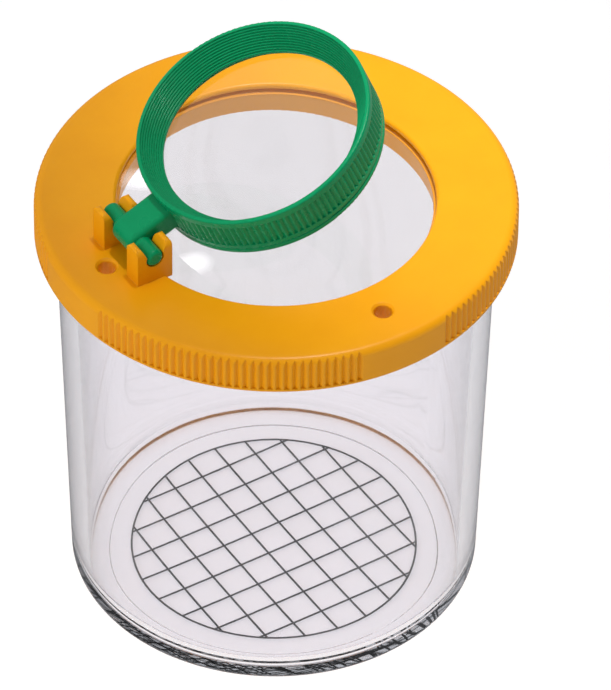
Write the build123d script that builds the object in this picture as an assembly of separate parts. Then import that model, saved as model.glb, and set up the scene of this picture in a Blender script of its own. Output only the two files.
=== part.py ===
from build123d import *
import os

# A bug catcher jar: a clear drafted cup with a measuring grid under its floor,
# a yellow push-on lid with a large lens, and a green loupe that folds on the lid.
# Millimetres. Z is the jar's axis, z = 0 is the table, and the hinge is at -X.

# Jar
jar_height = 67.9
jar_base_radius = 31.3
jar_rim_radius = 33.3
jar_wall = 2.6
jar_floor = 1.3
jar_inner_corner = 2.2
jar_foot_recess_depth = 0.35
jar_foot_recess_radius = 25.6
jar_foot_recess_round = 0.2
jar_foot_round = 0.9
jar_lip_round = 0.4
bead_reach = 1.0
bead_height = 1.6
bead_below_rim = 0.9
bead_round = 0.45

# Measuring grid, printed on the underside of the floor
grid_square = 5.0
grid_radius = 22.25
grid_line = 0.30
grid_ink = 0.08

# Lid
lid_height = 6.1
lid_plate = 3.0
lid_skirt_wall = 1.8
lid_shoulder_round = 1.3
lid_clearance = 0.3
lid_window_radius = 24.0
lid_window_lip = 0.8
lid_window_round = 0.5
collar_wall = 1.4
collar_depth = 3.6
air_hole_radius = 1.4
air_hole_circle = 29.7
air_hole_sink = 0.35
air_hole_angles = (90, 180, 270)
lid_grip_groups = 4
lid_grip_grooves = 35
lid_grip_group_angle = 67.5
lid_grip_depth = 0.42
lid_grip_width = 0.95
lid_grip_base = 0.4

# Lens of the lid and the ring that holds it in the collar
lens_clearance = 0.10
retainer_clearance = 0.05
ring_edge_round = 0.25
lens_middle_flat = 0.5
lid_lens_overlap = 1.0
lid_lens_edge = 1.6
lid_lens_top_rise = 1.0
lid_lens_bottom_rise = 0.8
lid_retainer_wall = 1.5
lid_retainer_height = 4.2

# Hinge between the lid and the loupe
hinge_x = -25.2
hinge_above_lid = 4.3
trunnion_radius = 1.4
trunnion_length = 13.2
trunnion_clearance = 0.08
trunnion_end_round = 0.7
clip_thickness = 3.2
clip_gap = 6.4
clip_prong = 1.5
clip_above_axis = 2.2
clip_prong_tip = 0.9
clip_tip_round = 0.42
clip_corner_round = 1.0
clip_throat = 2.7
clip_root = 0.4

# Loupe, measured from its hinge axis when it lies level
loupe_reach = 24.05
loupe_open_angle = 22.0
loupe_radius = 18.3
loupe_mouth_height = 3.9
loupe_bottom_depth = 3.85
loupe_mouth_radius = 17.65
loupe_throat_radius = 15.25
loupe_throat_height = 0.3
loupe_steps = 10
loupe_grip_grooves = 120
loupe_grip_depth = 0.30
loupe_grip_width = 0.78
loupe_lip_band = 1.25
loupe_bottom_band = 1.0
arm_width = 5.4
arm_thickness = 4.4
arm_round = 0.9
loupe_lens_seat = 0.9
loupe_lens_edge = 1.2
loupe_lens_shoulder = 0.5
loupe_lens_top_rise = 0.3
loupe_lens_bottom_rise = 0.15
loupe_bore_radius = 17.3
loupe_retainer_overlap = 0.5
loupe_retainer_mouth = 17.5
loupe_retainer_flange = 0.95

# Heights and radii that follow from the values above
lid_top = jar_height + lid_plate
lid_bottom = lid_top - lid_height
bead_radius = jar_rim_radius + bead_reach
lid_skirt_inner = bead_radius + lid_clearance
lid_radius = lid_skirt_inner + lid_skirt_wall
lid_lens_radius = lid_window_radius + lid_lens_overlap
collar_inner = lid_lens_radius + lens_clearance
collar_outer = collar_inner + collar_wall
lid_lens_top = lid_top - lid_window_lip
lid_lens_bottom = lid_lens_top - lid_lens_edge
floor_top = jar_foot_recess_depth + jar_floor
hinge_z = lid_top + hinge_above_lid
loupe_lens_radius = loupe_throat_radius + loupe_lens_seat
loupe_seat_radius = loupe_lens_radius + lens_clearance
loupe_shoulder_z = loupe_throat_height - loupe_lens_shoulder
loupe_lens_bottom = loupe_shoulder_z - loupe_lens_edge
loupe_retainer_inner = loupe_lens_radius - loupe_retainer_overlap
loupe_frame_bottom = loupe_retainer_flange - loupe_bottom_depth


def jar_radius_at(z):
    """Outer radius of the drafted wall at a height."""
    return jar_base_radius + (jar_rim_radius - jar_base_radius) * z / jar_height


def rounded_profile(points, rounds):
    """A face in the XZ plane with some of its corners rounded; rounds maps a point's index to its radius."""
    face = make_face(Plane.XZ * Polyline(*points, close=True))
    for index, radius in rounds.items():
        radial, height = points[index]
        corner = face.vertices().sort_by_distance((radial, 0, height))[0]
        face = fillet(corner, radius)
    return face


def turned(points, rounds):
    """A solid of revolution about Z."""
    return revolve(rounded_profile(points, rounds), Axis.Z)


def dome_height(radius, rise, base, distance):
    """Height of a spherical dome at a distance from its axis; a negative rise hangs down."""
    sphere = (radius ** 2 + rise ** 2) / (2 * rise)
    drop = sphere * (1 - (1 - (distance / sphere) ** 2) ** 0.5)
    return base + rise - drop


def dome_arc(radius, rise, base):
    """The arc of a spherical dome, from its rim to the small flat at its middle."""
    distances = (radius, radius / 2, lens_middle_flat)
    return ThreePointArc(*[(distance, dome_height(radius, rise, base, distance)) for distance in distances])


def lens(edge_radius, edge_bottom, edge_top, top_radius, top_rise, bottom_radius, bottom_rise):
    """A double convex lens with a flat cylindrical edge and a small flat at the middle of each dome."""
    top = dome_height(top_radius, top_rise, edge_top, lens_middle_flat)
    bottom = dome_height(bottom_radius, -bottom_rise, edge_bottom, lens_middle_flat)
    outline = [
        dome_arc(top_radius, top_rise, edge_top),
        Line((top_radius, edge_top), (edge_radius, edge_top)),
        Line((edge_radius, edge_top), (edge_radius, edge_bottom)),
        Line((edge_radius, edge_bottom), (bottom_radius, edge_bottom)),
        dome_arc(bottom_radius, -bottom_rise, edge_bottom),
        Line((lens_middle_flat, bottom), (0, bottom)),
        Line((0, bottom), (0, top)),
        Line((0, top), (lens_middle_flat, top)),
    ]
    return revolve(make_face([Plane.XZ * edge for edge in outline]), Axis.Z)


def grooves(radius, depth, width, bottom, top, angles):
    """Upright V grooves, to be cut from a cylinder of the given radius."""
    rim = radius + depth
    vee = make_face(Polyline((radius - depth, 0), (rim, -width), (rim, width), close=True))
    section = Sketch() + [Rot(0, 0, angle) * vee for angle in angles]
    return Pos(0, 0, bottom) * extrude(section, top - bottom)


def make_jar():
    """The clear cup, with a foot recess below its floor and a bead that guides the lid."""
    bead_top = jar_height - bead_below_rim
    bead_bottom = bead_top - bead_height
    points = [
        (0, jar_foot_recess_depth),
        (jar_foot_recess_radius, jar_foot_recess_depth),
        (jar_foot_recess_radius, 0),
        (jar_base_radius, 0),
        (jar_radius_at(bead_bottom), bead_bottom),
        (bead_radius, bead_bottom),
        (bead_radius, bead_top),
        (jar_radius_at(bead_top), bead_top),
        (jar_rim_radius, jar_height),
        (jar_rim_radius - jar_wall, jar_height),
        (jar_radius_at(floor_top) - jar_wall, floor_top),
        (0, floor_top),
    ]
    rounds = {
        1: jar_foot_recess_round,
        3: jar_foot_round,
        5: bead_round,
        6: bead_round,
        8: jar_lip_round,
        9: jar_lip_round,
        10: jar_inner_corner,
    }
    return turned(points, rounds)


def make_grid():
    """Ink lines in squares, inside a circle, with the middle of a square on the jar's axis."""
    middle = grid_radius - grid_line / 2
    ring = Circle(grid_radius) - Circle(grid_radius - grid_line)
    pairs = int(middle / grid_square + 0.5)
    offsets = [side * (count + 0.5) * grid_square for count in range(pairs) for side in (-1, 1)]
    lines = Sketch()
    for offset in offsets:
        length = 2 * (middle ** 2 - offset ** 2) ** 0.5
        lines += Pos(offset, 0) * Rectangle(grid_line, length)
        lines += Pos(0, offset) * Rectangle(length, grid_line)
    bottom = jar_foot_recess_depth - grid_ink
    return Pos(0, 0, bottom) * extrude(ring + lines, grid_ink)


def make_clip():
    """One of the two upright clips that the loupe's trunnion snaps into, about the hinge axis."""
    seat = trunnion_radius + trunnion_clearance
    half_width = seat + clip_prong
    root = -hinge_above_lid - clip_root
    corners = [
        (-half_width, root),
        (half_width, root),
        (half_width, clip_above_axis),
        (-half_width, clip_above_axis),
    ]
    outer = rounded_profile(corners, {2: clip_tip_round, 3: clip_tip_round})
    half_throat = clip_throat / 2
    half_mouth = half_width - clip_prong_tip
    throat_z = (seat ** 2 - half_throat ** 2) ** 0.5
    mouth = make_face(Plane.XZ * Polyline(
        (-half_throat, 0),
        (half_throat, 0),
        (half_throat, throat_z),
        (half_mouth, clip_above_axis),
        (-half_mouth, clip_above_axis),
        (-half_throat, throat_z),
        close=True,
    ))
    section = outer - Plane.XZ * Circle(seat) - mouth
    for tip in (-half_mouth, half_mouth):
        corner = section.vertices().sort_by_distance((tip, 0, clip_above_axis))[0]
        section = fillet(corner, clip_tip_round)
    half_thickness = clip_thickness / 2
    clip = extrude(section, half_thickness, both=True)
    front = make_face(Plane.YZ * Polyline(
        (-half_thickness, root),
        (half_thickness, root),
        (half_thickness, clip_above_axis),
        (-half_thickness, clip_above_axis),
        close=True,
    ))
    front = fillet(front.vertices().group_by(Axis.Z)[-1], clip_corner_round)
    return clip & extrude(front, half_width, both=True)


def make_lid():
    """The push-on lid, with its grip, its air holes, the lens collar and the hinge clips."""
    points = [
        (lid_window_radius, lid_lens_top),
        (collar_inner, lid_lens_top),
        (collar_inner, jar_height - collar_depth),
        (collar_outer, jar_height - collar_depth),
        (collar_outer, jar_height),
        (lid_skirt_inner, jar_height),
        (lid_skirt_inner, lid_bottom),
        (lid_radius, lid_bottom),
        (lid_radius, lid_top),
        (lid_window_radius, lid_top),
    ]
    lid = turned(points, {8: lid_shoulder_round, 9: lid_window_round})
    pitch = lid_grip_group_angle / lid_grip_grooves
    group_turn = 360 / lid_grip_groups
    angles = [
        group_turn * (group + 0.5) + pitch * (groove - (lid_grip_grooves - 1) / 2)
        for group in range(lid_grip_groups)
        for groove in range(lid_grip_grooves)
    ]
    grip_bottom = lid_bottom + lid_grip_base
    lid -= grooves(lid_radius, lid_grip_depth, lid_grip_width, grip_bottom, lid_top, angles)
    from_top = (Align.CENTER, Align.CENTER, Align.MAX)
    sink = Cone(air_hole_radius, air_hole_radius + air_hole_sink, air_hole_sink, align=from_top)
    for angle in air_hole_angles:
        place = Rot(0, 0, angle) * Pos(air_hole_circle, 0, lid_top)
        lid -= place * Cylinder(air_hole_radius, lid_plate * 2)
        lid -= place * sink
    clip_y = (clip_gap + clip_thickness) / 2
    for side in (-1, 1):
        lid += Pos(hinge_x, side * clip_y, hinge_z) * make_clip()
    return lid


def make_lid_lens():
    """The large lens, seated from below against the lip of the lid's window."""
    retainer_inner = collar_inner - retainer_clearance - lid_retainer_wall
    return lens(
        lid_lens_radius, lid_lens_bottom, lid_lens_top,
        lid_window_radius - lens_clearance, lid_lens_top_rise,
        retainer_inner - lens_clearance, lid_lens_bottom_rise,
    )


def make_lid_retainer():
    """The ring pushed up into the collar to hold the large lens."""
    outer = collar_inner - retainer_clearance
    inner = outer - lid_retainer_wall
    bottom = lid_lens_bottom - lid_retainer_height
    points = [(inner, bottom), (outer, bottom), (outer, lid_lens_bottom), (inner, lid_lens_bottom)]
    return turned(points, {0: ring_edge_round, 1: ring_edge_round})


def loupe_place():
    """Where the loupe's hinge axis is, with the loupe swung open to its resting angle."""
    return Pos(hinge_x, 0, hinge_z) * Rot(0, -loupe_open_angle, 0)


def make_loupe_frame():
    """The stepped ring with its grip, the arm and the trunnion, made in one piece."""
    rise = (loupe_mouth_height - loupe_throat_height) / loupe_steps
    tread = (loupe_mouth_radius - loupe_throat_radius) / loupe_steps
    points = [
        (loupe_radius, loupe_frame_bottom),
        (loupe_radius, loupe_mouth_height),
        (loupe_mouth_radius, loupe_mouth_height),
    ]
    for step in range(loupe_steps):
        lower = loupe_mouth_height - rise * (step + 1)
        points.append((loupe_mouth_radius - tread * step, lower))
        points.append((loupe_mouth_radius - tread * (step + 1), lower))
    points += [
        (loupe_throat_radius, loupe_shoulder_z),
        (loupe_seat_radius, loupe_shoulder_z),
        (loupe_seat_radius, loupe_lens_bottom),
        (loupe_bore_radius, loupe_lens_bottom),
        (loupe_bore_radius, loupe_frame_bottom),
    ]
    ring = turned(points, {1: ring_edge_round, 0: ring_edge_round})
    angles = [360 * groove / loupe_grip_grooves for groove in range(loupe_grip_grooves)]
    grip_bottom = loupe_frame_bottom + loupe_bottom_band
    grip_top = loupe_mouth_height - loupe_lip_band
    ring -= grooves(loupe_radius, loupe_grip_depth, loupe_grip_width, grip_bottom, grip_top, angles)
    arm_end = loupe_reach - loupe_radius + loupe_grip_depth * 2
    half = arm_thickness / 2
    side = Plane.XZ * (Pos(arm_end / 2, 0) * Rectangle(arm_end, arm_thickness) + Circle(half))
    arm = extrude(side, arm_width / 2, both=True)
    long_edges = [edge for edge in arm.edges() if abs(abs(edge.center().Y) - arm_width / 2) < arm_round / 10]
    arm = fillet([edge for edge in long_edges if edge.center().X < arm_end - arm_round], arm_round)
    trunnion = Cylinder(trunnion_radius, trunnion_length)
    trunnion = fillet(trunnion.edges().filter_by(GeomType.CIRCLE), trunnion_end_round)
    frame = Pos(loupe_reach, 0, 0) * ring + arm + Rot(90, 0, 0) * trunnion
    return loupe_place() * frame


def make_loupe_lens():
    """The loupe's lens, seated from below against the shoulder in the ring."""
    glass = lens(
        loupe_lens_radius, loupe_lens_bottom, loupe_shoulder_z,
        loupe_throat_radius - lens_clearance, loupe_lens_top_rise,
        loupe_retainer_inner - lens_clearance, loupe_lens_bottom_rise,
    )
    return loupe_place() * Pos(loupe_reach, 0, 0) * glass


def make_loupe_retainer():
    """The flared ring under the loupe; its flange meets the frame at the seam near the bottom."""
    outer = loupe_bore_radius - retainer_clearance
    points = [
        (loupe_retainer_mouth, -loupe_bottom_depth),
        (loupe_radius, -loupe_bottom_depth),
        (loupe_radius, loupe_frame_bottom),
        (outer, loupe_frame_bottom),
        (outer, loupe_lens_bottom),
        (loupe_retainer_inner, loupe_lens_bottom),
    ]
    ring = turned(points, {0: ring_edge_round, 1: ring_edge_round, 2: ring_edge_round})
    return loupe_place() * Pos(loupe_reach, 0, 0) * ring


nodes = {
    "jar": make_jar,
    "measuring_grid": make_grid,
    "lid": make_lid,
    "lid_lens": make_lid_lens,
    "lid_lens_ring": make_lid_retainer,
    "loupe_frame": make_loupe_frame,
    "loupe_lens": make_loupe_lens,
    "loupe_lens_ring": make_loupe_retainer,
}

os.makedirs("parts", exist_ok=True)
for name, make in nodes.items():
    export_step(make(), f"parts/{name}.step")
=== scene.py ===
import math
import bpy
from mathutils import Matrix, Vector

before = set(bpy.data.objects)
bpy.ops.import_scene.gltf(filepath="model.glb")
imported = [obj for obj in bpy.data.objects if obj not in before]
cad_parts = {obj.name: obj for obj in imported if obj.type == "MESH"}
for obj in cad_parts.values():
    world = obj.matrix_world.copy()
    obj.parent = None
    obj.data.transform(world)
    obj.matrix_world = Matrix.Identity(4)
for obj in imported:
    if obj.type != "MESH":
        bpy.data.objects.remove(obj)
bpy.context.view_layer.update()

MM = 0.001

# Camera, about the jar's axis, as fitted to the photograph
CAMERA_AZIMUTH = math.radians(-32.31)
CAMERA_ELEVATION = math.radians(42.83)
CAMERA_DISTANCE = 1377 * MM
CAMERA_PIVOT = Vector((0, 0, 40.8 * MM))
CAMERA_TARGET = Vector((3.83, -2.54, 40.6)) * MM
CAMERA_ROLL = math.radians(0.62)
FOCAL_PIXELS = 9052
IMAGE_HEIGHT = 690
SENSOR_HEIGHT = 36

# Opaque plastic, with noise scales in features per metre
MOTTLE_SCALE = 90
GLOSS_SCALE = 420
GLOSS_SPREAD = 0.06
SKIN_SCALE = 2600
SKIN_DETAIL = 2.0
SKIN_STRENGTH = 0.06
SKIN_DEPTH = 0.05 * MM
EDGE_ROUND = 0.22 * MM
EDGE_SAMPLES = 6

# Clear plastic; the edge numbers say how far and where painted shade darkens its tint as it is seen edge
# on
EDGE_ON_PAINTED_SHADE = 0.56
EDGE_ON_SHADE_START = 0.55
EDGE_ON_SHADE_END = 0.92
HAZE_SCALE = 160
HAZE_ROUGHNESS = 0.03
FLOW_SCALE = 45
FLOW_DETAIL = 1.0
FLOW_DEPTH = 0.3 * MM
DEPTH_COLOUR = (0.52, 0.58, 0.66)

# Ink
INK_SCALE = 900
INK_DARK = (0.003, 0.003, 0.004)
INK_PALE = (0.012, 0.012, 0.014)
INK_ROUGHNESS = (0.45, 0.65)

# Floor
FLOOR_HALF = 3.0
FLOOR_LEVEL = -0.1 * MM
FLOOR_SCALE = 30
FLOOR_DARK = (0.84, 0.84, 0.845)
FLOOR_PALE = (0.86, 0.86, 0.865)
FLOOR_ROUGHNESS = 0.9
FLOOR_GLOW = 0.35

# Lights, in metres and watts
KEY_PLACE = (0.09, -0.03, 0.95)
KEY_TARGET = (0.043, -0.004, 0.0708)
KEY_RADIUS = 0.03
KEY_ANGLE = math.radians(11.4)
KEY_POWER = 35.0
TABLE_PLACE = (-0.02, -0.34, 0.80)
TABLE_SIZE = 0.10
TABLE_POWER = 2.0
FILL_PLACE = (-0.55, 0.02, 0.27)
FILL_SIZE = 0.45
FILL_POWER = 1.0

# Lamps that show as highlights in the lid's lens. Each is a stack of growing disks, one a step behind
# the other, so that its reflection fades at the edge. A disk's power is for a size of one metre.
LAMP_PLACES = {"lamp_near": (0.353, 0.744, 0.996), "lamp_far": (0.388, 0.890, 0.866)}
LAMP_SIZES = (0.012, 0.022, 0.032, 0.042, 0.052)
LAMP_STEP = 0.002
LAMP_POWER = 4.5

# World: the sky pales with height, and its brightness changes from the picture's left to its right
WORLD_STRENGTH = 0.52
SKY_LOW = (0.34, 0.35, 0.37)
SKY_HIGH = (1, 1, 1)
SKY_PALE_FROM = 0.38
ABOVE_LEFT = 1.15
ABOVE_RIGHT = 0.35
BELOW_LEFT = 0.1
BELOW_RIGHT = 2.6
HORIZON_BLUR = 0.05


def new_material(name):
    """A node material and its main shader."""
    material = bpy.data.materials.new(name)
    material.use_nodes = True
    return material, material.node_tree, material.node_tree.nodes["Principled BSDF"]


def add_noise(tree, scale, detail=4.0, roughness=0.55):
    """Noise in the object's own coordinates; scale is in features per metre."""
    place = tree.nodes.new("ShaderNodeTexCoord")
    noise = tree.nodes.new("ShaderNodeTexNoise")
    noise.inputs["Scale"].default_value = scale
    noise.inputs["Detail"].default_value = detail
    noise.inputs["Roughness"].default_value = roughness
    tree.links.new(place.outputs["Object"], noise.inputs["Vector"])
    return noise.outputs["Fac"]


def add_ramp(tree, factor, low, high, start=0.3, end=0.7):
    """Blends from one colour to another as the factor goes from start to end."""
    ramp = tree.nodes.new("ShaderNodeValToRGB")
    ramp.color_ramp.elements[0].position = start
    ramp.color_ramp.elements[0].color = (*low, 1)
    ramp.color_ramp.elements[1].position = end
    ramp.color_ramp.elements[1].color = (*high, 1)
    tree.links.new(factor, ramp.inputs["Fac"])
    return ramp.outputs["Color"]


def add_range(tree, factor, low, high, start=0.0, end=1.0):
    """Maps a factor that goes from start to end onto a range of values."""
    spread = tree.nodes.new("ShaderNodeMapRange")
    spread.inputs["From Min"].default_value = start
    spread.inputs["From Max"].default_value = end
    spread.inputs["To Min"].default_value = low
    spread.inputs["To Max"].default_value = high
    tree.links.new(factor, spread.inputs["Value"])
    return spread.outputs["Result"]


def add_bump(tree, height, strength, distance):
    """Surface relief from a height."""
    bump = tree.nodes.new("ShaderNodeBump")
    bump.inputs["Strength"].default_value = strength
    bump.inputs["Distance"].default_value = distance
    tree.links.new(height, bump.inputs["Height"])
    return bump.outputs["Normal"]


def add_soft_edges(tree, radius):
    """Shades sharp edges as if they were slightly rounded."""
    bevel = tree.nodes.new("ShaderNodeBevel")
    bevel.samples = EDGE_SAMPLES
    bevel.inputs["Radius"].default_value = radius
    return bevel.outputs["Normal"]


def moulded_plastic(name, low, high, roughness, specular):
    """Opaque moulded plastic: a little mottle, a fine skin, soft edges and softly uneven gloss."""
    material, tree, shader = new_material(name)
    mottle = add_noise(tree, MOTTLE_SCALE)
    tree.links.new(add_ramp(tree, mottle, low, high), shader.inputs["Base Color"])
    gloss = add_noise(tree, GLOSS_SCALE)
    uneven = add_range(tree, gloss, roughness - GLOSS_SPREAD, roughness + GLOSS_SPREAD)
    tree.links.new(uneven, shader.inputs["Roughness"])
    skin = add_noise(tree, SKIN_SCALE, SKIN_DETAIL)
    skin_normal = add_bump(tree, skin, SKIN_STRENGTH, SKIN_DEPTH)
    tree.links.new(add_soft_edges(tree, EDGE_ROUND), skin_normal.node.inputs["Normal"])
    tree.links.new(skin_normal, shader.inputs["Normal"])
    shader.inputs["Specular IOR Level"].default_value = specular
    return material


def clear_plastic(name, tint, ior, ripple, density):
    """Clear moulded plastic, with painted shade that darkens its tint edge on, darker in depth, with
    faint flow ripples and a trace of haze.
    """
    material, tree, shader = new_material(name)
    # Painted shade: the tint darkens as the surface is seen edge on, standing in for the darker edges
    # that shade gives
    facing = tree.nodes.new("ShaderNodeLayerWeight")
    edge_on_shade_tint = tuple(channel * EDGE_ON_PAINTED_SHADE for channel in tint)
    shade = add_ramp(tree, facing.outputs["Facing"], tint, edge_on_shade_tint, EDGE_ON_SHADE_START, EDGE_ON_SHADE_END)
    tree.links.new(shade, shader.inputs["Base Color"])
    shader.inputs["Transmission Weight"].default_value = 1
    shader.inputs["IOR"].default_value = ior
    haze = add_noise(tree, HAZE_SCALE)
    tree.links.new(add_range(tree, haze, 0.0, HAZE_ROUGHNESS), shader.inputs["Roughness"])
    flow = add_noise(tree, FLOW_SCALE, FLOW_DETAIL)
    tree.links.new(add_bump(tree, flow, ripple, FLOW_DEPTH), shader.inputs["Normal"])
    depth = tree.nodes.new("ShaderNodeVolumeAbsorption")
    depth.inputs["Color"].default_value = (*DEPTH_COLOUR, 1)
    depth.inputs["Density"].default_value = density
    tree.links.new(depth.outputs["Volume"], tree.nodes["Material Output"].inputs["Volume"])
    return material


def ink():
    """Printed black ink, slightly uneven."""
    material, tree, shader = new_material("grid_ink")
    cover = add_noise(tree, INK_SCALE)
    tree.links.new(add_ramp(tree, cover, INK_DARK, INK_PALE), shader.inputs["Base Color"])
    tree.links.new(add_range(tree, cover, *INK_ROUGHNESS), shader.inputs["Roughness"])
    return material


def set_material(thing, material):
    """Gives an object one material."""
    thing.data.materials.clear()
    thing.data.materials.append(material)


def make_camera():
    """The camera that took the photograph."""
    back = Vector((
        math.sin(CAMERA_AZIMUTH) * math.cos(CAMERA_ELEVATION),
        -math.cos(CAMERA_AZIMUTH) * math.cos(CAMERA_ELEVATION),
        math.sin(CAMERA_ELEVATION),
    ))
    lens = bpy.data.cameras.new("camera")
    lens.sensor_fit = "VERTICAL"
    lens.sensor_height = SENSOR_HEIGHT
    lens.lens = FOCAL_PIXELS * SENSOR_HEIGHT / IMAGE_HEIGHT
    camera = bpy.data.objects.new("camera", lens)
    camera.location = CAMERA_PIVOT + back * CAMERA_DISTANCE
    aim = (CAMERA_TARGET - camera.location).to_track_quat("-Z", "Y").to_matrix().to_4x4()
    camera.rotation_euler = (aim @ Matrix.Rotation(CAMERA_ROLL, 4, "Z")).to_euler()
    bpy.context.scene.collection.objects.link(camera)
    bpy.context.scene.camera = camera


def make_floor():
    """A plain pale floor that glows a little and is left out of mirror reflections."""
    mesh = bpy.data.meshes.new("floor")
    corners = [
        (-FLOOR_HALF, -FLOOR_HALF, FLOOR_LEVEL),
        (FLOOR_HALF, -FLOOR_HALF, FLOOR_LEVEL),
        (FLOOR_HALF, FLOOR_HALF, FLOOR_LEVEL),
        (-FLOOR_HALF, FLOOR_HALF, FLOOR_LEVEL),
    ]
    mesh.from_pydata(corners, [], [(0, 1, 2, 3)])
    floor = bpy.data.objects.new("floor", mesh)
    bpy.context.scene.collection.objects.link(floor)
    material, tree, shader = new_material("floor_paper")
    tone = add_noise(tree, FLOOR_SCALE)
    tree.links.new(add_ramp(tree, tone, FLOOR_DARK, FLOOR_PALE), shader.inputs["Base Color"])
    shader.inputs["Roughness"].default_value = FLOOR_ROUGHNESS
    shader.inputs["Emission Color"].default_value = (1, 1, 1, 1)
    shader.inputs["Emission Strength"].default_value = FLOOR_GLOW
    set_material(floor, material)
    floor.visible_glossy = False
    return floor


def place_light(name, lamp, place, target):
    """Puts a light in the studio, out of sight of the camera, also through clear plastic."""
    light = bpy.data.objects.new(name, lamp)
    light.location = place
    light.rotation_euler = (Vector(target) - light.location).to_track_quat("-Z", "Y").to_euler()
    light.visible_camera = False
    light.visible_transmission = False
    bpy.context.scene.collection.objects.link(light)
    return light


def light_only(light, things):
    """Makes a light fall on some objects alone."""
    lit = bpy.data.collections.new("lit_by_" + light.name)
    for thing in things:
        lit.objects.link(thing)
    light.light_linking.receiver_collection = lit


def disk_light(name, size, power):
    """A round soft light."""
    lamp = bpy.data.lights.new(name, "AREA")
    lamp.shape = "DISK"
    lamp.size = size
    lamp.energy = power
    return lamp


def make_key():
    """A spot on the right of the lid that leaves the floor alone."""
    lamp = bpy.data.lights.new("key", "SPOT")
    lamp.energy = KEY_POWER
    lamp.shadow_soft_size = KEY_RADIUS
    lamp.spot_size = KEY_ANGLE
    lamp.spot_blend = 1.0
    light_only(place_light("key", lamp, KEY_PLACE, KEY_TARGET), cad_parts.values())


def make_table_light(floor):
    """A light that falls on the floor alone and that only the floor blocks, so the floor stays white."""
    light = place_light("table", disk_light("table", TABLE_SIZE, TABLE_POWER), TABLE_PLACE, CAMERA_PIVOT)
    light_only(light, [floor])
    light.light_linking.blocker_collection = light.light_linking.receiver_collection


def make_fill():
    """A soft light from the left that shows in no reflection."""
    light = place_light("fill", disk_light("fill", FILL_SIZE, FILL_POWER), FILL_PLACE, CAMERA_PIVOT)
    light.visible_glossy = False


def make_lamps():
    """The lamps that show as soft highlights in the lid's lens."""
    for name, place in LAMP_PLACES.items():
        for step, size in enumerate(LAMP_SIZES):
            spot = Vector(place) * (1 + LAMP_STEP * step)
            place_light(name, disk_light(name, size, LAMP_POWER * size ** 2), spot, CAMERA_PIVOT)


def make_surroundings():
    """A studio that draws the clear edges: brighter on the left above the horizon, on the right below."""
    world = bpy.data.worlds.new("studio")
    bpy.context.scene.world = world
    world.use_nodes = True
    tree = world.node_tree
    place = tree.nodes.new("ShaderNodeTexCoord")
    parts = tree.nodes.new("ShaderNodeSeparateXYZ")
    tree.links.new(place.outputs["Generated"], parts.inputs["Vector"])
    sky = add_ramp(tree, parts.outputs["Z"], SKY_LOW, SKY_HIGH, 0.0, SKY_PALE_FROM)
    across = tree.nodes.new("ShaderNodeVectorMath")
    across.operation = "DOT_PRODUCT"
    across.inputs[1].default_value = (math.cos(CAMERA_AZIMUTH), math.sin(CAMERA_AZIMUTH), 0)
    tree.links.new(place.outputs["Generated"], across.inputs[0])
    above = add_range(tree, across.outputs["Value"], ABOVE_LEFT, ABOVE_RIGHT)
    below = add_range(tree, across.outputs["Value"], BELOW_LEFT, BELOW_RIGHT, -1.0)
    height = add_range(tree, parts.outputs["Z"], 0.0, 1.0, -HORIZON_BLUR, HORIZON_BLUR)
    side = tree.nodes.new("ShaderNodeMix")
    tree.links.new(height, side.inputs["Factor"])
    tree.links.new(below, side.inputs["A"])
    tree.links.new(above, side.inputs["B"])
    both = tree.nodes.new("ShaderNodeVectorMath")
    both.operation = "SCALE"
    tree.links.new(sky, both.inputs[0])
    tree.links.new(side.outputs["Result"], both.inputs["Scale"])
    shader = tree.nodes["Background"]
    tree.links.new(both.outputs["Vector"], shader.inputs["Color"])
    shader.inputs["Strength"].default_value = WORLD_STRENGTH


yellow = moulded_plastic(
    "yellow_plastic", low=(0.79, 0.315, 0.002), high=(0.83, 0.345, 0.003), roughness=0.34, specular=0.20
)
green = moulded_plastic(
    "green_plastic", low=(0.0, 0.235, 0.086), high=(0.001, 0.275, 0.102), roughness=0.28, specular=0.16
)
clear = clear_plastic("clear_jar", tint=(0.905, 0.895, 0.93), ior=1.5, ripple=0.05, density=8)
glass = clear_plastic("clear_lens", tint=(0.90, 0.89, 0.895), ior=1.49, ripple=0.01, density=8)
loupe_glass = clear_plastic("clear_loupe", tint=(1, 1, 1), ior=1.49, ripple=0.01, density=2)
black = ink()

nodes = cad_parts
for name in ("lid", "lid_lens_ring"):
    set_material(nodes[name], yellow)
for name in ("loupe_frame", "loupe_lens_ring"):
    set_material(nodes[name], green)
set_material(nodes["lid_lens"], glass)
set_material(nodes["loupe_lens"], loupe_glass)
set_material(nodes["jar"], clear)
set_material(nodes["measuring_grid"], black)

# Clear pieces cast no shadow, and the loupe's lens doesn't hide a lamp from the lid's lens
for name in ("jar", "lid_lens", "loupe_lens"):
    nodes[name].visible_shadow = False
    nodes[name].visible_diffuse = False
nodes["loupe_lens"].visible_glossy = False

make_camera()
floor = make_floor()
make_key()
make_table_light(floor)
make_fill()
make_lamps()
make_surroundings()

scene = bpy.context.scene
scene.view_settings.view_transform = "Standard"
scene.cycles.use_denoising = True
scene.cycles.caustics_refractive = False
scene.cycles.caustics_reflective = False
scene.cycles.max_bounces = 40
scene.cycles.glossy_bounces = 32
scene.cycles.transmission_bounces = 32
scene.cycles.transparent_max_bounces = 20
